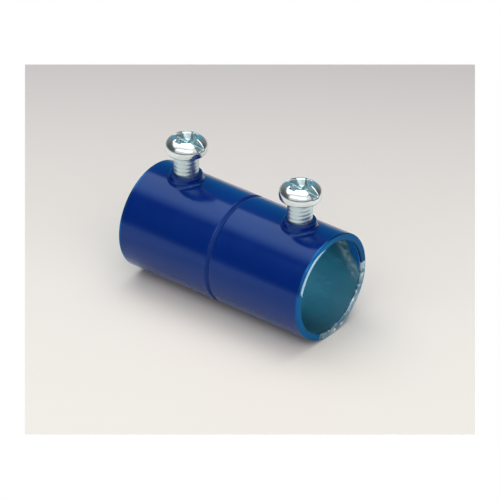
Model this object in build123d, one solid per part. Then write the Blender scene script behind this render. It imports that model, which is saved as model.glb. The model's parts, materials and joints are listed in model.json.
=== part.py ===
from build123d import *
import math
import os

# Set-screw coupling for half-inch thin-wall steel conduit, in millimetres.
# The sleeve lies along X, its two screws point up along +Z,
# and the origin is on the sleeve's axis in the middle of the rolled stop.

# Sleeve: a length of welded steel tube that slips over half-inch trade size conduit
conduit_diameter = 17.93
conduit_clearance = 0.185
wall_thickness = 1.35
sleeve_length = 41.6
outer_edge_chamfer = 0.15
mouth_chamfer = 0.12

# Rolled stop: a narrow groove outside that raises a low ring inside
groove_width = 1.0
groove_depth = 0.4
stop_width = 1.8
stop_height = 0.6

# Bosses: collars drawn outward from the wall and tapped for the screws
screw_setback = 7.6
boss_wall = 0.68
boss_height = 1.25
boss_foot_radius = 0.6
boss_shoulder_radius = 0.3
boss_mouth_chamfer = 0.12

# Set screws: No. 10 thread, a quarter of an inch long under a round head
thread_diameter = 4.74
thread_clearance = 0.05
thread_length = 6.35
thread_engaged = 1.7
tip_chamfer = 0.45
head_seat_width = 1.48
head_swell = 0.15
head_rim_height = 1.05
head_dome_height = 2.05

# Drive recess: one slot right across the head, and in its middle a shorter cross
# round a core that opens out upwards
slot_width = 1.4
slot_depth = 1.75
cross_span = 5.0
cross_width = 1.4
cross_depth = 2.4
cross_taper = 12.0
core_radius = 2.15
core_depth = 1.5
core_taper = 30.0
slot_turn = -7.0

# Worked out from the sizes above
bore_radius = conduit_diameter / 2 + conduit_clearance
sleeve_radius = bore_radius + wall_thickness
half_length = sleeve_length / 2
thread_radius = thread_diameter / 2
tapped_radius = thread_radius + thread_clearance
boss_radius = tapped_radius + boss_wall
boss_top = sleeve_radius + boss_height
head_base_radius = thread_radius + head_seat_width
head_radius = head_base_radius + head_swell
screw_tip = boss_top - thread_engaged
head_underside = screw_tip + thread_length
head_top = head_underside + head_rim_height + head_dome_height
screw_places = {"left": screw_setback - half_length, "right": half_length - screw_setback}

# How near an edge has to be to a place to count as lying there
near = 0.01


def ring_section(radius, width, depth):
    """Round-bottomed dip in a line along X at the given radius, in the middle of the sleeve."""
    return ThreePointArc((-width / 2, radius), (0, radius - depth), (width / 2, radius))


def turned(left_half, middle, right_half):
    """Solid turned about X from one side of its section, with its seam away from the bosses."""
    edges = Polyline(*left_half).edges() + middle.edges() + Polyline(*right_half).edges()
    seam_at_the_bottom = Rot(-90, 0, 0)
    return seam_at_the_bottom * revolve(make_face(edges), Axis.X)


def end_points(radius, end_radius, bevel, inner_x):
    """Half of a section, from the middle of the sleeve out to its end and down to its axis."""
    return [
        (inner_x, radius),
        (half_length - bevel, radius),
        (half_length, end_radius),
        (half_length, 0),
        (0, 0),
    ]


def both_halves(points):
    """The given right half of a section, and the same mirrored for the left half."""
    return [(-x, y) for x, y in points], points


def sleeve_outside():
    """The tube as if it were a solid bar, with its rolled groove and bevelled ends."""
    end_radius = sleeve_radius - outer_edge_chamfer
    left, right = both_halves(
        end_points(sleeve_radius, end_radius, outer_edge_chamfer, groove_width / 2)
    )
    return turned(left, ring_section(sleeve_radius, groove_width, groove_depth), right)


def sleeve_hollow():
    """The space inside the sleeve: two sockets, narrowed between them by the stop."""
    end_radius = bore_radius + mouth_chamfer
    left, right = both_halves(end_points(bore_radius, end_radius, mouth_chamfer, stop_width / 2))
    return turned(left, ring_section(bore_radius, stop_width, stop_height), right)


def boss_blank(x):
    """Round boss before it is bored, from the sleeve's axis up to its flat top."""
    return Pos(x, 0, boss_top / 2) * Cylinder(boss_radius, boss_top)


def is_boss_foot(edge):
    """True for the curve where a boss meets the outside of the tube."""
    middle = edge @ 0.5
    for x in screw_places.values():
        from_axis = math.hypot(middle.X - x, middle.Y)
        if abs(from_axis - boss_radius) < near and 0 < middle.Z < sleeve_radius + near:
            return True
    return False


def is_boss_top(edge):
    """True for the edge round a boss's flat top, before the boss is bored."""
    return abs((edge @ 0.5).Z - boss_top) < near


def coupling_sleeve():
    """Tube, rolled stop and two tapped bosses, all one piece of steel."""
    body = sleeve_outside()
    for x in screw_places.values():
        body += boss_blank(x)
    body = fillet([e for e in body.edges() if is_boss_foot(e)], boss_foot_radius)
    body = fillet([e for e in body.edges() if is_boss_top(e)], boss_shoulder_radius)
    body -= sleeve_hollow()
    for x in screw_places.values():
        body -= Pos(x, 0, boss_top / 2) * Cylinder(tapped_radius, boss_top)
        countersink = Cone(tapped_radius, tapped_radius + boss_mouth_chamfer, boss_mouth_chamfer)
        body -= Pos(x, 0, boss_top - boss_mouth_chamfer / 2) * countersink
    return body


def screw_blank():
    """Head and shank turned about Z, before the drive recess is cut."""
    widest = head_underside + head_rim_height
    shank = Polyline(
        (0, 0, head_top),
        (0, 0, screw_tip),
        (thread_radius - tip_chamfer, 0, screw_tip),
        (thread_radius, 0, screw_tip + tip_chamfer),
        (thread_radius, 0, head_underside),
        (head_base_radius, 0, head_underside),
    )
    flank = EllipticalCenterArc(
        (head_base_radius, widest), head_swell, head_rim_height, start_angle=-90
    )
    dome = EllipticalCenterArc((0, widest), head_radius, head_dome_height)
    outline = shank.edges() + (Plane.XZ * flank).edges() + (Plane.XZ * dome).edges()
    return revolve(make_face(outline), Axis.Z)


def drive_recess():
    """Slot, cross and core, as the solid that they remove from the head."""
    slot = Pos(0, 0, head_top) * Box(3 * head_radius, slot_width, 2 * slot_depth)
    top = Plane.XY.offset(head_top)
    arms = top * Rectangle(cross_width, cross_span) + top * Rectangle(cross_span, cross_width)
    cross = extrude(arms, -cross_depth, taper=cross_taper)
    core = extrude(top * Circle(core_radius), -core_depth, taper=core_taper)
    return slot + cross + core


def set_screw():
    """One round-head set screw on the Z axis."""
    return screw_blank() - Rot(0, 0, slot_turn) * drive_recess()


os.makedirs("parts", exist_ok=True)
export_step(coupling_sleeve(), "parts/coupling_sleeve.step")
for side, x in screw_places.items():
    export_step(Pos(x, 0, 0) * set_screw(), f"parts/set_screw_{side}.step")
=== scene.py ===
import json
import math

import bmesh
import bpy
import numpy as np
from mathutils import Matrix, Vector


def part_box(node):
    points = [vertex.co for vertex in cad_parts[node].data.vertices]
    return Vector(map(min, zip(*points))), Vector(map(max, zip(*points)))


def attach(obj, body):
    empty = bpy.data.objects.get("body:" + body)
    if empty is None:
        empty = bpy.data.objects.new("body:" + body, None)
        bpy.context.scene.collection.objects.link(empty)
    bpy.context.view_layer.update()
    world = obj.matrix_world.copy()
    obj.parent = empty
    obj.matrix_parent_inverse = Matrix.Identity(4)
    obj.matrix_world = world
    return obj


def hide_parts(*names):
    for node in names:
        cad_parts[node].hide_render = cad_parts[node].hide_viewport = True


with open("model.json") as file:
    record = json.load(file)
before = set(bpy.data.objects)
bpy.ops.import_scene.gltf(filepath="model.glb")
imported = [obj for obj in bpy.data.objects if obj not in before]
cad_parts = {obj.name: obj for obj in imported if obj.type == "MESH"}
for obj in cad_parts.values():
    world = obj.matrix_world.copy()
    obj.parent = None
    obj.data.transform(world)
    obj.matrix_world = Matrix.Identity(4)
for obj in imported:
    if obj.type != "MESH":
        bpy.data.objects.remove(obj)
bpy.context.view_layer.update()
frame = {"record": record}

# Sizes are in millimetres, and MM turns them into the frame's metres
MM = 0.001

# Read from the frame
sleeve_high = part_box("coupling_sleeve")[1] / MM
half_length = sleeve_high.x
sleeve_radius = sleeve_high.y
boss_top = sleeve_high.z
bore_radius = frame["record"]["mounts"][0]["dims"]["r_mm"]

# Sleeve details
groove_half_width = 0.58
groove_depth = 0.4
stop_half_width = 1.3
stop_height = 0.6
outer_edge_radius = 0.18

# Boss details
boss_radius = 3.1
boss_foot_radius = 0.6
boss_shoulder_radius = 0.3
least_boss_wall = 0.05
hole_radius = 2.42
hole_mouth_radius = 0.12
hole_inner_radius = 0.2
patch_half_length = 5.0
patch_foot_radius = 3.85
inner_patch_radius = 3.3

# Screw details
thread_radius = 2.37
thread_length = 6.35
thread_pitch = 25.4 / 32
thread_depth = 0.025
thread_fade_start = 0.35
thread_fade_end = 1.2
tip_chamfer = 0.45
head_base_radius = 3.85
head_rim_height = 1.05
head_dome_height = 2.05
slot_half_width = 0.7
slot_depth = 1.75
cross_half_span = 2.5
cross_half_width = 0.7
cross_depth = 2.4
cross_taper = math.radians(12)
core_radius = 2.15
core_depth = 1.5
core_taper = math.radians(30)
slot_turn = math.radians(-7)
soft_edge = 0.14
seat_edge = 0.07
tip_edge = 0.1
recess_edge = 0.3
neck_fillet = 0.3
# Depth over which the painted shade in the drive's hollow fades in
recess_shade_fade = 0.4
shank_fade = 0.5

# How finely the screws' mesh is divided, and how its points settle on the surface
screw_mesh_step = 0.085
settle_rounds = 4
slope_share = 0.125
least_steepness = 0.25
tiny = 1e-6

# How finely the sleeve's mesh is divided: columns round it and rows along it
columns = 216
groove_zone = 1.4
groove_rows = 28
plain_rows = 12
patch_rows = 32
end_rows = 6
edge_rows = 5
face_rows = 5
# The patch round each boss: half its columns, the rings in its roundings, and where the others lie
patch_half_columns = 17
foot_rings = 8
shoulder_rings = 7
hole_edge_rings = 5
rim_to_foot_shares = (0.2, 0.42, 0.66, 0.86, 1.0)
hole_shares = (0.25, 0.5, 0.75, 1.0)
hole_to_rim_shares = (0.3, 0.65)


def smooth(values):
    """Eases a share from 0 to 1 with no corner at its ends."""
    share = np.clip(values, 0, 1)
    return share * share * (3 - 2 * share)


def make_piece(name, vertices, faces, material):
    """Object with smooth shading from points in millimetres and faces of point numbers."""
    mesh = bpy.data.meshes.new(name)
    mesh.from_pydata((np.asarray(vertices, float) * MM).tolist(), [], faces)
    work = bmesh.new()
    work.from_mesh(mesh)
    bmesh.ops.recalc_face_normals(work, faces=work.faces)
    work.to_mesh(mesh)
    work.free()
    mesh.polygons.foreach_set("use_smooth", [True] * len(mesh.polygons))
    mesh.materials.append(material)
    piece = bpy.data.objects.new(name, mesh)
    bpy.context.scene.collection.objects.link(piece)
    return piece


def store(piece, name, values):
    """Keeps one number for each point of a piece, for its material to read."""
    attribute = piece.data.attributes.new(name, "FLOAT", "POINT")
    attribute.data.foreach_set("value", np.asarray(values, np.float32))


# Node helpers


def stored(tree, name):
    """Socket with the numbers kept under a name."""
    return add_node(tree, "ShaderNodeAttribute", {"attribute_name": name}).outputs["Fac"]


def new_material(name):
    """New material, its node tree and its main shader."""
    material = bpy.data.materials.new(name)
    material.use_nodes = True
    return material, material.node_tree, material.node_tree.nodes["Principled BSDF"]


def add_node(tree, kind, settings=None, **inputs):
    """Node whose settings are set by name, and whose inputs are linked or set by name or place."""
    made = tree.nodes.new(kind)
    for key, value in (settings or {}).items():
        setattr(made, key, value)
    for key, value in inputs.items():
        place = int(key[1:]) if key[0] == "i" and key[1:].isdigit() else key.replace("_", " ")
        connect(tree, value, made.inputs[place])
    return made


def connect(tree, value, socket):
    """Links a socket, or sets a plain value."""
    if isinstance(value, bpy.types.NodeSocket):
        tree.links.new(value, socket)
    else:
        socket.default_value = value


def math_node(tree, operation, *values):
    """Result of one Math node."""
    made = tree.nodes.new("ShaderNodeMath")
    made.operation = operation
    for value, socket in zip(values, made.inputs):
        connect(tree, value, socket)
    return made.outputs[0]


# Where a Mix node keeps its two values and its result, for each kind that it mixes
mix_places = {"RGBA": (6, 7, 2), "FLOAT": (2, 3, 0)}


def blend(tree, kind, factor, first, second):
    """Result of one Mix node."""
    first_place, second_place, result_place = mix_places[kind]
    made = tree.nodes.new("ShaderNodeMix")
    made.data_type = kind
    connect(tree, factor, made.inputs["Factor"])
    connect(tree, first, made.inputs[first_place])
    connect(tree, second, made.inputs[second_place])
    return made.outputs[result_place]


def blend_colours(tree, factor, first, second):
    """Mix of two colours."""
    return blend(tree, "RGBA", factor, first, second)


def blend_values(tree, factor, first, second):
    """Mix of two numbers."""
    return blend(tree, "FLOAT", factor, first, second)


def ramp(tree, value, low, high, to_low=0.0, to_high=1.0):
    """Value mapped from one range to another, and held at its ends."""
    made = add_node(tree, "ShaderNodeMapRange", Value=value)
    made.inputs["From Min"].default_value = low
    made.inputs["From Max"].default_value = high
    made.inputs["To Min"].default_value = to_low
    made.inputs["To Max"].default_value = to_high
    return made.outputs[0]


def noise(tree, vector, pattern):
    """Noise from 0 to 1, in a pattern of features per millimetre, detail and roughness."""
    scale, detail, roughness = pattern
    made = add_node(
        tree, "ShaderNodeTexNoise", Vector=vector, Scale=scale, Detail=detail, Roughness=roughness
    )
    return made.outputs[0]


def millimetres(tree):
    """The piece's own coordinates in millimetres."""
    coordinates = add_node(tree, "ShaderNodeTexCoord").outputs["Object"]
    scaled = add_node(tree, "ShaderNodeVectorMath", {"operation": "SCALE"}, i0=coordinates, Scale=1 / MM)
    return scaled.outputs[0]


# Materials

paint_colour = (0.0004, 0.017, 0.170, 1)
paint_light_colour = (0.0004, 0.021, 0.190, 1)
paint_gloss_tint = (0.55, 0.95, 1.0, 1)
# On the end faces the paint is thin, and its colour is painted darker in the upper right as painted shade
# and lighter elsewhere as painted light
rim_paint_lit_colour = (0.010, 0.115, 0.34, 1)
rim_paint_shade_colour = (0.010, 0.065, 0.21, 1)
spray_colour = (0.004, 0.15, 0.48, 1)
bore_colour = (0.41, 0.75, 0.85, 1)
bore_streak_colour = (0.31, 0.58, 0.67, 1)
rim_metal_colour = (0.44, 0.55, 0.62, 1)
rim_shade_colour = (0.13, 0.24, 0.35, 1)
rim_fleck_colour = (0.75, 0.88, 0.95, 1)
worn_edge_colour = (0.50, 0.71, 0.90, 1)
mist_colour = (0.46, 0.54, 0.60, 1)
zinc_colour = (0.74, 0.79, 0.78, 1)
zinc_spot_colour = (0.66, 0.73, 0.73, 1)
# Painted shade, tinted blue-green, in the hollow of the screws' drive
recess_shade_colour = (0.56, 0.70, 0.72, 1)
shank_colour = (0.58, 0.69, 0.70, 1)

# Noise patterns: features per millimetre, detail and roughness
ragged_pattern = (1.6, 4.0, 0.6)
streak_pattern = (2.2, 4.0, 0.6)
peel_pattern = (0.55, 2.0, 0.5)
cloud_pattern = (0.25, 3.0, 0.5)
clump_pattern = (1.1, 3.0, 0.6)
patch_pattern = (0.4, 2.0, 0.5)
fleck_pattern = (1.1, 2.0, 0.5)
spot_pattern = (0.9, 3.0, 0.6)
grain_pattern = (7.0, 3.0, 0.6)
streak_squeeze = 0.05

# Between which values of a noise or cover each blend runs, and how far it goes
full_range = (0.3, 0.7)
paint_range = (0.46, 0.54)
clump_range = (0.38, 0.62)
patch_range = (0.38, 0.6)
fleck_range = (0.56, 0.66)
streak_range = (0.35, 0.75)
ragged_reach = 0.5
least_clump = 0.1
streak_share = 0.5

# Metal, gloss and relief
paint_ior = 1.42
paint_metallic = 0.1
rim_paint_metallic = 0.9
coated_metallic = 0.3
paint_roughness_range = (0.13, 0.18)
groove_roughness = 0.55
plate_roughness_range = (0.26, 0.42)
coated_roughness = 0.5
zinc_roughness_range = (0.14, 0.24)
recess_roughness = 0.3
shank_roughness = 0.34
streak_relief = 0.6
sleeve_bump_strength = 0.25
sleeve_bump_height = 0.01
zinc_bump_strength = 0.2
zinc_bump_height = 0.006


def add_bump(tree, shader, height, strength, tallest):
    """Fine relief on a shader, from a height between 0 and 1 and its size in millimetres."""
    bump = add_node(tree, "ShaderNodeBump", Height=height, Strength=strength, Distance=tallest * MM)
    connect(tree, bump.outputs[0], shader.inputs["Normal"])


def drawn_streaks(tree, position):
    """Fine lines along the bore, from noise stretched along X and wrapped round the tube."""
    parts = add_node(tree, "ShaderNodeSeparateXYZ", Vector=position)
    angle = math_node(tree, "ARCTAN2", parts.outputs[1], parts.outputs[2])
    around = math_node(tree, "MULTIPLY", angle, bore_radius)
    along = math_node(tree, "MULTIPLY", parts.outputs[0], streak_squeeze)
    stretched = add_node(tree, "ShaderNodeCombineXYZ", X=along, Y=around)
    return noise(tree, stretched.outputs[0], streak_pattern)


def sleeve_material():
    """Gloss blue paint over zinc plate, with a ragged edge where the paint ends."""
    material, tree, shader = new_material("painted_steel")
    position = millimetres(tree)
    cover = stored(tree, "paint")
    ragged = noise(tree, position, ragged_pattern)
    uneven = math_node(tree, "MULTIPLY_ADD", ragged, ragged_reach, -ragged_reach / 2)
    painted = ramp(tree, math_node(tree, "ADD", cover, uneven), *paint_range)
    streaks = drawn_streaks(tree, position)
    peel = noise(tree, position, peel_pattern)
    cloudy = noise(tree, position, cloud_pattern)

    rim = stored(tree, "rim")
    worn = stored(tree, "worn")
    clumps = ramp(tree, noise(tree, position, clump_pattern), *clump_range, least_clump)
    mist = math_node(tree, "MULTIPLY", stored(tree, "mist"), clumps)
    spray = ramp(tree, math_node(tree, "ADD", stored(tree, "spray"), uneven), *full_range)
    patchy = ramp(tree, noise(tree, position, patch_pattern), *patch_range)
    flecks = ramp(tree, noise(tree, position, fleck_pattern), *fleck_range)
    cut_metal = blend_colours(tree, patchy, rim_shade_colour, rim_metal_colour)
    cut_metal = blend_colours(tree, flecks, cut_metal, rim_fleck_colour)
    cut_metal = blend_colours(tree, worn, cut_metal, worn_edge_colour)
    streaked = ramp(tree, streaks, *streak_range)
    dull = blend_colours(tree, streaked, bore_colour, bore_streak_colour)
    plate = blend_colours(tree, streak_share, bore_colour, dull)
    plate = blend_colours(tree, mist, plate, mist_colour)
    plate = blend_colours(tree, spray, plate, spray_colour)
    plate = blend_colours(tree, rim, plate, cut_metal)
    paint = blend_colours(tree, cloudy, paint_colour, paint_light_colour)
    # Painted shade and light: the end faces' thin paint is darker in the upper right sector and lighter
    # elsewhere
    rim_paint = blend_colours(tree, stored(tree, "rim_paint_shade"), rim_paint_lit_colour, rim_paint_shade_colour)
    paint = blend_colours(tree, rim, paint, rim_paint)
    connect(tree, blend_colours(tree, painted, plate, paint), shader.inputs["Base Color"])
    coated = math_node(tree, "MAXIMUM", mist, spray)
    in_paint = blend_values(tree, rim, paint_metallic, rim_paint_metallic)
    in_plate = blend_values(tree, coated, 1.0, coated_metallic)
    connect(tree, blend_values(tree, painted, in_plate, in_paint), shader.inputs["Metallic"])
    shader.inputs["IOR"].default_value = paint_ior
    shader.inputs["Specular Tint"].default_value = paint_gloss_tint
    of_plate = ramp(tree, streaks, *full_range, *plate_roughness_range)
    of_plate = blend_values(tree, coated, of_plate, coated_roughness)
    of_paint = ramp(tree, cloudy, *full_range, *paint_roughness_range)
    of_paint = blend_values(tree, stored(tree, "groove"), of_paint, groove_roughness)
    connect(tree, blend_values(tree, painted, of_plate, of_paint), shader.inputs["Roughness"])

    streak_height = math_node(tree, "MULTIPLY", streaks, streak_relief)
    height = blend_values(tree, painted, streak_height, peel)
    add_bump(tree, shader, height, sleeve_bump_strength, sleeve_bump_height)
    return material


def screw_material():
    """Bright zinc plate with small uneven spots, painted blue-green shade in the drive's hollow, and a
    duller shank.
    """
    material, tree, shader = new_material("zinc_plated_steel")
    position = millimetres(tree)
    spots = ramp(tree, noise(tree, position, spot_pattern), *full_range)
    grain = noise(tree, position, grain_pattern)
    # Painted shade: the drive's hollow is coloured darker and blue-green, and is also less rough
    recess_shade = stored(tree, "recess_shade")
    shank = stored(tree, "shank")
    colour = blend_colours(tree, spots, zinc_colour, zinc_spot_colour)
    colour = blend_colours(tree, shank, colour, shank_colour)
    connect(tree, blend_colours(tree, recess_shade, colour, recess_shade_colour), shader.inputs["Base Color"])
    shader.inputs["Metallic"].default_value = 1.0
    roughness = ramp(tree, grain, *full_range, *zinc_roughness_range)
    roughness = blend_values(tree, recess_shade, roughness, recess_roughness)
    roughness = blend_values(tree, shank, roughness, shank_roughness)
    connect(tree, roughness, shader.inputs["Roughness"])
    add_bump(tree, shader, grain, zinc_bump_strength, zinc_bump_height)
    return material


# Sleeve


def outer_section(x):
    """Radius of the outside of the tube at x, with the rolled groove."""
    dip = np.where(np.abs(x) < groove_half_width, np.cos(np.pi * x / groove_half_width / 2) ** 2, 0)
    return sleeve_radius - groove_depth * dip


def inner_section(x):
    """Radius of the bore at x, narrowed by the stop that the groove raises."""
    rise = np.where(np.abs(x) < stop_half_width, np.cos(np.pi * x / stop_half_width / 2) ** 2, 0)
    return bore_radius - stop_height * rise


def even(first, last, count):
    """Places from first up to but not including last."""
    return list(np.linspace(first, last, count, endpoint=False))


def section_rows(end, boss_x):
    """Places along the tube of the rings of its mesh, close together at the groove."""
    near_edge, far_edge = boss_x - patch_half_length, boss_x + patch_half_length
    right = even(groove_zone, near_edge, plain_rows) + even(near_edge, far_edge, patch_rows)
    right += even(far_edge, end, end_rows) + [end]
    middle = even(-groove_zone, groove_zone, groove_rows)
    return [-x for x in reversed(right)] + middle[1:] + right


def sleeve_section(rows):
    """Four runs of (x, radius) round the wall's section: outside, right end, inside, left end."""
    outer = [(x, float(outer_section(x))) for x in rows]
    inner = [(x, float(inner_section(x))) for x in rows]

    def rounded(edge_radius, radius, inward):
        """Quarter turn from the barrel of the tube onto its right end face."""
        points = []
        for step in range(1, edge_rows + 1):
            turn = math.pi / 2 * step / edge_rows
            x = half_length - edge_radius + edge_radius * math.sin(turn)
            points.append((x, radius - inward * edge_radius * (1 - math.cos(turn))))
        return points

    end = rows[-1]
    outer_turn = rounded(half_length - end, sleeve_radius, 1)
    inner_turn = rounded(half_length - end, bore_radius, -1)
    face_radii = np.linspace(outer_turn[-1][1], inner_turn[-1][1], face_rows + 2)[1:-1]
    face = [(half_length, float(radius)) for radius in face_radii]
    right_end = outer_turn + face + inner_turn[::-1]
    left_end = [(-x, radius) for x, radius in reversed(right_end)]
    return outer, right_end, inner[::-1], left_end


def sleeve_piece(material):
    """The tube with its groove, stop, rounded ends and two bored bosses, as one closed mesh."""
    screw_boxes = [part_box(name) for name in ("set_screw_left", "set_screw_right")]
    boss_places = [(low.x + high.x) / 2 / MM for low, high in screw_boxes]
    end = half_length - outer_edge_radius
    rows = section_rows(end, boss_places[1])
    outer, right_end, inner, left_end = sleeve_section(rows)
    loop = outer + right_end + inner + left_end
    turns = 2 * np.pi * np.arange(columns) / columns

    vertices = []
    for x, radius in loop:
        for turn in turns:
            vertices.append((x, -radius * math.sin(turn), radius * math.cos(turn)))
    row_of = {}
    for number in range(len(outer)):
        row_of["outer", number] = number
        row_of["inner", number] = len(outer) + len(right_end) + len(inner) - 1 - number

    def grid_point(side, row, column):
        return row_of[side, row] * columns + column % columns

    # Rows and columns that each boss's round patch takes out of the grid
    patches = []
    for place in boss_places:
        first = min(range(len(rows)), key=lambda n: abs(rows[n] - (place - patch_half_length)))
        patches.append((place, first, first + patch_rows))
    removed = set()
    for place, first, last in patches:
        for side in ("outer", "inner"):
            for row in range(first, last):
                lower = min(row_of[side, row], row_of[side, row + 1])
                for column in range(-patch_half_columns, patch_half_columns):
                    removed.add((lower, column % columns))

    faces = []
    for row in range(len(loop)):
        for column in range(columns):
            if (row, column) in removed:
                continue
            next_row = (row + 1) % len(loop)
            next_column = (column + 1) % columns
            faces.append(
                (
                    row * columns + column,
                    row * columns + next_column,
                    next_row * columns + next_column,
                    next_row * columns + column,
                )
            )

    for place, first, last in patches:
        steps = [(row, -patch_half_columns) for row in range(first, last)]
        steps += [(last, column) for column in range(-patch_half_columns, patch_half_columns)]
        steps += [(row, patch_half_columns) for row in range(last, first, -1)]
        steps += [(first, column) for column in range(patch_half_columns, -patch_half_columns, -1)]
        outer_rim = [grid_point("outer", row, column) for row, column in steps]
        inner_rim = [grid_point("inner", row, column) for row, column in steps]
        rings = boss_rings(place, [vertices[n] for n in outer_rim], [vertices[n] for n in inner_rim])
        previous = outer_rim
        for ring in rings:
            start = len(vertices)
            vertices.extend(ring)
            current = list(range(start, start + len(ring)))
            faces.extend(band(previous, current))
            previous = current
        faces.extend(band(previous, inner_rim))

    piece = make_piece("coupling_sleeve_finish", vertices, faces, material)
    add_paint_cover(piece, boss_places)
    return piece


def band(first, second):
    """Quads between two rings of point numbers."""
    faces = []
    for number in range(len(first)):
        following = (number + 1) % len(first)
        faces.append((first[number], first[following], second[following], second[number]))
    return faces


def boss_rings(place, outer_rim, inner_rim):
    """Rings of points from the rim of the outer patch over the boss and down its hole to the bore."""
    outer_rim = np.array(outer_rim)
    inner_rim = np.array(inner_rim)
    angle = np.arctan2(outer_rim[:, 1], outer_rim[:, 0] - place)
    cosine, sine = np.cos(angle), np.sin(angle)

    def on_tube(x, y, radius):
        return np.stack([x, y, np.sqrt(radius**2 - y**2)], 1)

    def circle(reach):
        return place + reach * cosine, reach * sine

    def ring(reach, height):
        x, y = circle(reach)
        return np.stack([x, y, np.broadcast_to(height, x.shape)], 1)

    rings = []
    for share in rim_to_foot_shares:
        x, y = circle(patch_foot_radius)
        x = outer_rim[:, 0] * (1 - share) + x * share
        y = outer_rim[:, 1] * (1 - share) + y * share
        rings.append(on_tube(x, y, sleeve_radius))

    side_y = boss_radius * sine
    wall_height = boss_top - boss_shoulder_radius - np.sqrt(sleeve_radius**2 - side_y**2)
    foot = np.minimum(boss_foot_radius, wall_height - least_boss_wall)
    for turn in np.linspace(0, np.pi / 2, foot_rings):
        reach = boss_radius + foot * (1 - np.sin(turn))
        x, y = circle(reach)
        height = np.sqrt(sleeve_radius**2 - y**2) + foot * (1 - np.cos(turn))
        rings.append(np.stack([x, y, height], 1))
    shoulder_start = boss_top - boss_shoulder_radius
    foot_height = rings[-1][:, 2]
    rings.append(ring(boss_radius, (foot_height + shoulder_start) / 2))
    for turn in np.linspace(0, np.pi / 2, shoulder_rings):
        reach = boss_radius - boss_shoulder_radius * (1 - np.cos(turn))
        rings.append(ring(reach, shoulder_start + boss_shoulder_radius * np.sin(turn)))
    for turn in np.linspace(0, np.pi / 2, hole_edge_rings):
        reach = hole_radius + hole_mouth_radius * (1 - np.sin(turn))
        rings.append(ring(reach, boss_top - hole_mouth_radius * (1 - np.cos(turn))))

    hole_y = hole_radius * sine
    bottom = np.sqrt(bore_radius**2 - hole_y**2) + hole_inner_radius
    top = boss_top - hole_mouth_radius
    for share in hole_shares:
        rings.append(ring(hole_radius, top * (1 - share) + bottom * share))
    for turn in np.linspace(0, np.pi / 2, hole_edge_rings)[1:]:
        reach = hole_radius + hole_inner_radius * (1 - np.cos(turn))
        x, y = circle(reach)
        height = np.sqrt(bore_radius**2 - y**2) + hole_inner_radius * (1 - np.sin(turn))
        rings.append(np.stack([x, y, height], 1))
    x, y = circle(inner_patch_radius)
    rings.append(on_tube(x, y, bore_radius))
    for share in hole_to_rim_shares:
        mixed_x = x * (1 - share) + inner_rim[:, 0] * share
        mixed_y = y * (1 - share) + inner_rim[:, 1] * share
        rings.append(on_tube(mixed_x, mixed_y, bore_radius))
    return [[tuple(point) for point in one] for one in rings]


# Paint: how far it reaches over the end faces and into the bore, by angle round the tube,
# and over what lengths and angles each part of it fades
bare_sector = (math.radians(160), math.radians(275))
bare_blur = math.radians(6)
outside_lead = 0.3
rim_fade = 0.15
spray_depth = 2.6
spray_sector = (math.radians(-88), math.radians(-8))
spray_blur = math.radians(30)
spray_fade = 0.9
spray_lead = 0.3
spray_thickest_wall = 0.3
mist_sector = (math.radians(-104), math.radians(-50))
mist_blur = math.radians(22)
mist_width = 2.0
mist_offset = 0.7 * mist_width
# Sector where the end faces' paint is painted darker, as painted shade
rim_paint_shade_sector = (math.radians(-95), math.radians(5))
rim_paint_shade_blur = math.radians(30)
hole_margin = 0.01
groove_steepness = 1.6
# The edge wears from the first angle to the last, slowly wider at first, and ends more sharply
worn_sector = (math.radians(17), math.radians(75))
worn_rise = math.radians(40)
worn_fall = math.radians(10)
worn_width = 1.15
worn_fade = 0.5
worn_depth = outer_edge_radius + 0.1


def in_sector(angle, sector, blur):
    """1 inside a sector of angles from +Z towards -Y, 0 outside it, eased over blur radians."""
    middle = (sector[0] + sector[1]) / 2
    half = (sector[1] - sector[0]) / 2
    away = np.abs((angle - middle + np.pi) % (2 * np.pi) - np.pi)
    return smooth((half - away) / blur + 0.5)


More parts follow.
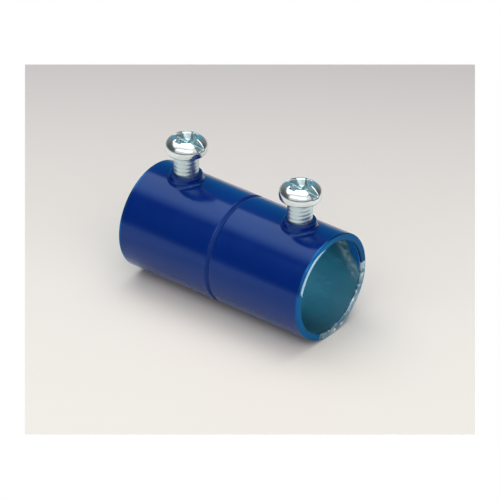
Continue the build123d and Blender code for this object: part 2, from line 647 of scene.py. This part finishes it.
def add_paint_cover(piece, boss_places):
    """Stores where paint, spray and mist lie, and the rim, its worn edge, the painted shade of its paint and
    the groove.
    """
    points = np.array([v.co for v in piece.data.vertices]) / MM
    x, y, z = points.T
    radius = np.hypot(y, z)
    angle = np.arctan2(-y, z)
    depth = half_length - np.abs(x)
    bare_end = in_sector(angle, bare_sector, bare_blur)
    from_edge = radius - (sleeve_radius - outer_edge_radius)
    on_outside = smooth(from_edge / outer_edge_radius + outside_lead)
    on_barrel = (depth > outer_edge_radius) & (radius > (bore_radius + sleeve_radius) / 2)
    on_outside = np.where(on_barrel, 1, on_outside)
    worn_rising = smooth((angle - worn_sector[0]) / worn_rise + 0.5)
    worn_falling = smooth((worn_sector[1] - angle) / worn_fall + 0.5)
    worn_reach = bore_radius + worn_width * worn_rising * worn_falling
    worn = smooth((worn_reach - radius) / worn_fade) * (depth < worn_depth)
    spray_reach = spray_depth * in_sector(angle, spray_sector, spray_blur)
    sprayed_wall = (spray_reach > 0) & (radius < bore_radius + spray_thickest_wall)
    spray = smooth((spray_reach - depth) / spray_fade + spray_lead) * sprayed_wall
    mist = in_sector(angle, mist_sector, mist_blur)
    mist = mist * smooth(1 - np.abs(depth - spray_reach - mist_offset) / mist_width)
    wall = np.where(depth < outer_edge_radius, (1 - bare_end) * (1 - worn), 0)
    from_screw = np.min([np.hypot(x - place, y) for place in boss_places], 0)
    in_hole = (z > bore_radius) & (from_screw < hole_radius + hole_margin)
    cover = np.maximum(on_outside, wall)
    cover = np.where(in_hole & (z < boss_top - hole_mouth_radius), 0, cover)
    rim = smooth((outer_edge_radius + rim_fade - depth) / rim_fade)
    groove = smooth(groove_steepness * (1 - np.abs(x) / groove_half_width))
    store(piece, "paint", cover)
    store(piece, "rim", rim)
    store(piece, "spray", spray)
    store(piece, "worn", worn)
    store(piece, "groove", groove)
    # Where the end faces' paint is painted darker, as painted shade
    store(piece, "rim_paint_shade", in_sector(angle, rim_paint_shade_sector, rim_paint_shade_blur))
    store(piece, "mist", mist)


# Screws


def soft_max(first, second, width):
    """Larger of two distances, with the corner between them rounded."""
    gap = np.maximum(width - np.abs(first - second), 0) / width
    return np.maximum(first, second) + gap**2 * width / 4


def soft_min(first, second, width):
    """Smaller of two distances, with the corner between them rounded."""
    return -soft_max(-first, -second, width)


def head_distance(reach, height, head_radius):
    """Distance outside the turned head, at a reach from its axis and a height over its seat."""
    above = height - head_rim_height
    scaled = np.sqrt((reach / head_radius) ** 2 + (above / head_dome_height) ** 2)
    steepness = np.sqrt((reach / head_radius**2) ** 2 + (above / head_dome_height**2) ** 2)
    dome = scaled * (scaled - 1) / np.maximum(steepness, tiny)
    swell = head_radius - head_base_radius
    fall = np.clip(-above / head_rim_height, 0, 1)
    flank = reach - (head_base_radius + swell * np.sqrt(1 - fall**2))
    side = np.where(above > 0, dome, flank)
    return soft_max(side, -height, seat_edge)


def recess_distance(x, y, depth):
    """Distance outside the slot, cross and core, at a place on the head and a depth under its top."""
    along = x * math.cos(slot_turn) + y * math.sin(slot_turn)
    across = y * math.cos(slot_turn) - x * math.sin(slot_turn)
    narrowing = depth * math.tan(cross_taper)
    slot = soft_max(np.abs(across) - slot_half_width, depth - slot_depth, soft_edge)
    slope = np.hypot(x, y) - (core_radius - depth * math.tan(core_taper))
    core = soft_max(slope * math.cos(core_taper), depth - core_depth, soft_edge)
    found = soft_min(slot, core, soft_edge)
    for long_way, short_way in ((along, across), (across, along)):
        sides = soft_max(
            np.abs(long_way) - (cross_half_span - narrowing),
            np.abs(short_way) - (cross_half_width - narrowing),
            soft_edge,
        )
        arm = soft_max(sides, depth - cross_depth, soft_edge)
        found = soft_min(found, arm, soft_edge / 2)
    return found


def thread_distance(reach, angle, height, length):
    """Distance outside the threaded shank, whose thread fades out close under the head."""
    phase = height / thread_pitch - angle / (2 * np.pi)
    cut = thread_depth * (1 - np.cos(2 * np.pi * phase)) / 2
    present = smooth((-height - thread_fade_start) / (thread_fade_end - thread_fade_start))
    side = reach - (thread_radius - cut * present)
    chamfer = (reach - (thread_radius - tip_chamfer) - (height + length)) * math.sqrt(0.5)
    return soft_max(soft_max(side, chamfer, tip_edge), -(height + length), tip_edge)


def screw_distance(points, length, head_radius, head_height):
    """Signed distance from a screw whose axis is Z and whose head seats at height 0."""
    x, y, height = points[..., 0], points[..., 1], points[..., 2]
    reach = np.hypot(x, y)
    head = head_distance(reach, height, head_radius)
    shank = thread_distance(reach, np.arctan2(y, x), height, length)
    shank = np.maximum(shank, height - head_rim_height / 2)
    solid = soft_min(head, shank, neck_fillet)
    return soft_max(solid, -recess_distance(x, y, head_height - height), recess_edge)


def surface_of(distance, low, high, step):
    """Closed quad mesh on the surface where distance is 0, one point in each cell that it crosses."""
    axes = [np.arange(a, b + step, step) for a, b in zip(low, high)]
    grid = np.stack(np.meshgrid(*axes, indexing="ij"), -1)
    field = distance(grid)
    inside = field < 0
    counts = [len(axis) - 1 for axis in axes]
    total = np.zeros((*counts, 3))
    hits = np.zeros(counts)
    for axis in range(3):
        others = [other for other in range(3) if other != axis]
        ahead = [slice(None)] * 3
        behind = [slice(None)] * 3
        ahead[axis] = slice(1, None)
        behind[axis] = slice(None, -1)
        first, second = field[tuple(behind)], field[tuple(ahead)]
        crossed = (first < 0) != (second < 0)
        share = np.where(crossed, first / np.where(crossed, first - second, 1), 0)
        place = grid[tuple(behind)] + share[..., None] * step * np.eye(3)[axis]
        for shift_one in (0, 1):
            for shift_two in (0, 1):
                window = [slice(None)] * 3
                window[others[0]] = slice(shift_one, shift_one + counts[others[0]])
                window[others[1]] = slice(shift_two, shift_two + counts[others[1]])
                window = tuple(window)
                total += np.where(crossed[window][..., None], place[window], 0)
                hits += crossed[window]
    used = hits > 0
    number = np.full(counts, -1)
    number[used] = np.arange(used.sum())
    points = total[used] / hits[used][:, None]
    faces = []
    for axis in range(3):
        one, two = [other for other in range(3) if other != axis]
        ahead = [slice(1, -1)] * 3
        behind = [slice(1, -1)] * 3
        ahead[axis] = slice(1, None)
        behind[axis] = slice(None, -1)
        crossed = inside[tuple(ahead)] != inside[tuple(behind)]
        cells = np.argwhere(crossed)
        cells[:, one] += 1
        cells[:, two] += 1
        corners = []
        for back_one, back_two in ((0, 0), (1, 0), (1, 1), (0, 1)):
            cell = cells.copy()
            cell[:, one] -= back_one
            cell[:, two] -= back_two
            corners.append(number[tuple(cell.T)])
        faces.append(np.stack(corners, 1))
    return settle(distance, points, step), np.concatenate(faces).tolist()


def settle(distance, points, step):
    """Moves points along the field's slope until they lie on its surface."""
    reach = step * slope_share
    for _ in range(settle_rounds):
        value = distance(points)
        slope = np.zeros_like(points)
        for axis in range(3):
            offset = np.eye(3)[axis] * reach
            slope[:, axis] = (distance(points + offset) - distance(points - offset)) / (2 * reach)
        steepness = np.maximum((slope**2).sum(1), least_steepness)
        move = -(value / steepness)[:, None] * slope
        points = points + np.clip(move, -step / 2, step / 2)
    return points


def screw_piece(node, material):
    """One set screw at the place of its node."""
    low, high = (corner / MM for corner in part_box(node))
    head_radius = (high.x - low.x) / 2
    head_height = head_rim_height + head_dome_height
    seat = low.z + thread_length
    x = (low.x + high.x) / 2

    def distance(points):
        return screw_distance(points, thread_length, head_radius, head_height)

    margin = 2 * screw_mesh_step
    bottom = (-head_radius - margin, -head_radius - margin, -thread_length - margin)
    top = (head_radius + margin, head_radius + margin, head_height + margin)
    points, faces = surface_of(distance, bottom, top, screw_mesh_step)
    reach = np.hypot(points[:, 0], points[:, 1])
    # Painted shade: darker blue-green colour deep in the drive's hollow
    recess_shade_share = smooth(-head_distance(reach, points[:, 2], head_radius) / recess_shade_fade)
    under_head = smooth(-points[:, 2] / shank_fade)
    piece = make_piece(node + "_finish", points + np.array((x, 0, seat)), faces, material)
    store(piece, "recess_shade", recess_shade_share)
    store(piece, "shank", under_head)
    return piece


# Stage, lights and camera

camera_azimuth = math.radians(37.06)
camera_elevation = math.radians(31.80)
camera_roll = math.radians(1.09)
camera_distance = 923.3
focal_pixels = 4990.8
image_pixels = 500
sensor_width = 36
clip_range = (0.01, 20)
# Where the middle of the rolled stop falls, in pixels from the middle of the photograph
origin_pixel = (8.354, 0.593)

floor_height = -sleeve_radius
ground_half_size = 2500.0
# Painted shade: grey that the ground turns far from the part
ground_far_shade_colour = (0.42, 0.41, 0.40, 1)
ground_white_reach = 130.0
ground_grey_reach = 160.0
ground_glow = 1.0
paper_lit_colour = (0.881, 0.832, 0.766, 1)
paper_shaded_colour = (0.594, 0.556, 0.541, 1)
# The paper is painted lighter between these places, as painted light and shade, counted towards the camera
# from under the origin
paper_shade_fade = (-87.0, 50.0)
paper_glow = 0.02
paper_thickness = 0.3
stage_roughness = 0.9
stage_gloss = 0.1
# Where the sheet of paper ends in the photograph, in pixels: left, right, top and bottom
paper_edges = (25, 475, 64.5, 434.5)

# The two softboxes over the part: where each hangs, its size, its strength, and how the first is
# turned and dimmed at one side
overhead_place = (-180, 40, 600)
overhead_size = (880, 640)
overhead_strength = 2.05
overhead_turn = math.radians(17)
overhead_fade = 0.35
overhead_front_place = (200, -390, 600)
overhead_front_size = (1000, 420)
overhead_front_strength = 1.3

# The two screens that face the part: azimuth, size and strength of each, and what they share
screen_distance = 1150
screen_elevation = math.radians(36)
screen_lowest = 0.6
front_screen_azimuth = math.radians(18)
front_screen_size = (2000, 1100)
front_screen_strength = 1.0
right_screen_azimuth = math.radians(85)
right_screen_size = (900, 1100)
right_screen_strength = 0.95

# The world: dim, paler where it points away from the camera, with a strip in the middle of that
studio_gloom = (0.10, 0.10, 0.11, 1)
studio_far_side = (0.22, 0.27, 0.29, 1)
studio_far_strip = (0.06, 0.42, 0.66, 1)
far_side_range = (-0.5, -0.85)
far_strip_range = (0.42, 0.2)
white = (1, 1, 1, 1)


def seen_rays(tree):
    """1 for rays from the camera and for what metal or glass shows."""
    path = add_node(tree, "ShaderNodeLightPath")
    seen = math_node(tree, "MAXIMUM", path.outputs["Is Camera Ray"], path.outputs["Is Glossy Ray"])
    return math_node(tree, "MAXIMUM", seen, path.outputs["Is Transmission Ray"])


def blend_shaders(tree, factor, first, second):
    """Node that mixes what two shader nodes give."""
    return add_node(
        tree, "ShaderNodeMixShader", i0=factor, i1=first.outputs[0], i2=second.outputs[0]
    )


def flat_stage(name, corners, height, colour_of, glow):
    """Matt flat piece of the stage, clear from below, that is seen partly by its own light."""
    material, tree, shader = new_material(name)
    colour = colour_of(tree, millimetres(tree))
    connect(tree, colour, shader.inputs["Base Color"])
    shader.inputs["Roughness"].default_value = stage_roughness
    shader.inputs["Specular IOR Level"].default_value = stage_gloss
    own_light = add_node(tree, "ShaderNodeEmission", Color=colour)
    share = math_node(tree, "MULTIPLY", seen_rays(tree), glow)
    top = blend_shaders(tree, share, shader, own_light)
    clear = add_node(tree, "ShaderNodeBsdfTransparent")
    under = add_node(tree, "ShaderNodeNewGeometry").outputs["Backfacing"]
    shown = blend_shaders(tree, under, top, clear)
    tree.links.new(shown.outputs[0], tree.nodes["Material Output"].inputs["Surface"])
    mesh = bpy.data.meshes.new(name)
    mesh.from_pydata([(x * MM, y * MM, 0) for x, y in corners], [], [(0, 1, 2, 3)])
    mesh.materials.append(material)
    flat = bpy.data.objects.new(name, mesh)
    flat.location.z = height * MM
    bpy.context.scene.collection.objects.link(flat)


def level_reach(tree, vector, azimuth):
    """How far a place lies, or a direction points, at an angle round from -Y towards +X."""
    towards = add_node(tree, "ShaderNodeVectorMath", {"operation": "DOT_PRODUCT"}, i0=vector)
    towards.inputs[1].default_value = (math.sin(azimuth), -math.cos(azimuth), 0)
    return towards.outputs["Value"]


def paper_with_painted_shade(tree, position):
    """Pale grey, painted darker far from the camera as painted shade, that grows lighter towards the camera,
    quickly at first and then more slowly.
    """
    nearness = level_reach(tree, position, camera_azimuth)
    share = ramp(tree, nearness, *paper_shade_fade)
    share = math_node(tree, "MULTIPLY", share, math_node(tree, "SUBTRACT", 2.0, share))
    return blend_colours(tree, share, paper_shaded_colour, paper_lit_colour)


def ground_colour(tree, position):
    """White round the paper, and painted grey farther out, as painted shade."""
    away = add_node(tree, "ShaderNodeVectorMath", {"operation": "LENGTH"}, i0=position)
    far = ramp(tree, away.outputs["Value"], ground_white_reach, ground_grey_reach)
    return blend_colours(tree, far, white, ground_far_shade_colour)


def ground_and_paper():
    """White ground, and on it the sheet of paper that the part lies on."""
    size = ground_half_size
    ground = [(-size, -size), (size, -size), (size, size), (-size, size)]
    flat_stage("ground", ground, floor_height - paper_thickness, ground_colour, ground_glow)
    left, right, top, bottom = paper_edges
    corners = [(left, bottom), (right, bottom), (right, top), (left, top)]
    paper = [floor_point(x, y) for x, y in corners]
    flat_stage("paper", paper, floor_height, paper_with_painted_shade, paper_glow)


def softbox(name, place, aim, turn, size, strength, fade=0.0, lowest=0.0):
    """Rectangular soft light, dimmed at one side: to the share lowest, over the share fade of its height."""
    data = bpy.data.lights.new(name, "AREA")
    data.shape = "RECTANGLE"
    data.size, data.size_y = (side * MM for side in size)
    area = data.size * data.size_y
    data.energy = strength * math.pi * area
    light = bpy.data.objects.new(name, data)
    place = Vector(place)
    back = (place - Vector(aim)).normalized()
    side = Vector((math.cos(turn), math.sin(turn), 0))
    side = (side - back * side.dot(back)).normalized()
    light.matrix_world = Matrix((side, back.cross(side), back)).transposed().to_4x4()
    light.location = place * MM
    bpy.context.scene.collection.objects.link(light)
    if fade:
        data.use_nodes = True
        tree = data.node_tree
        emission = tree.nodes["Emission"]
        across = add_node(tree, "ShaderNodeNewGeometry").outputs["Parametric"]
        parts = add_node(tree, "ShaderNodeSeparateXYZ", Vector=across)
        level = ramp(tree, parts.outputs[1], 0.0, fade, lowest, 1.0)
        connect(tree, level, emission.inputs["Strength"])


def hanging_softbox(name, place, turn, size, strength, fade=0.0):
    """Softbox that hangs level and lights what is under it."""
    softbox(name, place, (place[0], place[1], 0), turn, size, strength, fade)


def screen(name, azimuth, size, strength):
    """Softbox that faces the part, at an angle round from -Y towards +X, dimmed towards the floor."""
    level = screen_distance * math.cos(screen_elevation)
    height = screen_distance * math.sin(screen_elevation)
    place = (level * math.sin(azimuth), -level * math.cos(azimuth), height)
    softbox(name, place, (0, 0, 0), azimuth, size, strength, 1.0, screen_lowest)


def lights():
    """Two softboxes overhead, two pale screens in front and at the right, and the dim world."""
    hanging_softbox(
        "overhead", overhead_place, overhead_turn, overhead_size, overhead_strength, overhead_fade
    )
    hanging_softbox(
        "overhead_front", overhead_front_place, 0, overhead_front_size, overhead_front_strength
    )
    screen("front_screen", front_screen_azimuth, front_screen_size, front_screen_strength)
    screen("right_screen", right_screen_azimuth, right_screen_size, right_screen_strength)
    studio_world()


def studio_world():
    """Dim studio with a paler far side and a blue strip in its middle, and white to the camera."""
    world = bpy.data.worlds.new("studio")
    bpy.context.scene.world = world
    world.use_nodes = True
    tree = world.node_tree
    direction = add_node(tree, "ShaderNodeTexCoord").outputs["Generated"]
    far = ramp(tree, level_reach(tree, direction, camera_azimuth), *far_side_range)
    sideways = level_reach(tree, direction, camera_azimuth + math.pi / 2)
    sideways = math_node(tree, "ABSOLUTE", sideways)
    strip = math_node(tree, "MULTIPLY", far, ramp(tree, sideways, *far_strip_range))
    dim = blend_colours(tree, far, studio_gloom, studio_far_side)
    dim = blend_colours(tree, strip, dim, studio_far_strip)
    seen = add_node(tree, "ShaderNodeLightPath").outputs["Is Camera Ray"]
    colour = blend_colours(tree, seen, dim, white)
    connect(tree, colour, tree.nodes["Background"].inputs["Color"])


def camera_pose():
    """The camera's directions to its right, up and back, and its place in millimetres."""
    cos_up, sin_up = math.cos(camera_elevation), math.sin(camera_elevation)
    back = Vector((math.sin(camera_azimuth) * cos_up, -math.cos(camera_azimuth) * cos_up, sin_up))
    level = Vector((0, 0, 1)).cross(back).normalized()
    upright = back.cross(level)
    right = level * math.cos(camera_roll) + upright * math.sin(camera_roll)
    up = upright * math.cos(camera_roll) - level * math.sin(camera_roll)
    per_pixel = camera_distance / focal_pixels
    place = back * camera_distance
    place += (right * origin_pixel[0] - up * origin_pixel[1]) * per_pixel
    return right, up, back, place


def floor_point(pixel_x, pixel_y):
    """Place on the floor that the camera sees at a pixel."""
    right, up, back, place = camera_pose()
    middle = image_pixels / 2
    ray = right * (pixel_x - middle) - up * (pixel_y - middle) - back * focal_pixels
    hit = place + ray * (floor_height - place.z) / ray.z
    return hit.x, hit.y


def camera():
    """Long-lens camera at the photograph's angle."""
    right, up, back, place = camera_pose()
    data = bpy.data.cameras.new("camera")
    data.sensor_width = sensor_width
    data.lens = sensor_width * focal_pixels / image_pixels
    data.clip_start, data.clip_end = clip_range
    made = bpy.data.objects.new("camera", data)
    made.matrix_world = Matrix((right, up, back)).transposed().to_4x4()
    made.location = place * MM
    bpy.context.scene.collection.objects.link(made)
    bpy.context.scene.camera = made


sleeve = sleeve_piece(sleeve_material())
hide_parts("coupling_sleeve")
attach(sleeve, "sleeve")
zinc = screw_material()
for side in ("left", "right"):
    screw = screw_piece(f"set_screw_{side}", zinc)
    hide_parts(f"set_screw_{side}")
    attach(screw, f"{side}_screw")

ground_and_paper()
lights()
camera()
bpy.context.scene.view_settings.view_transform = "Standard"
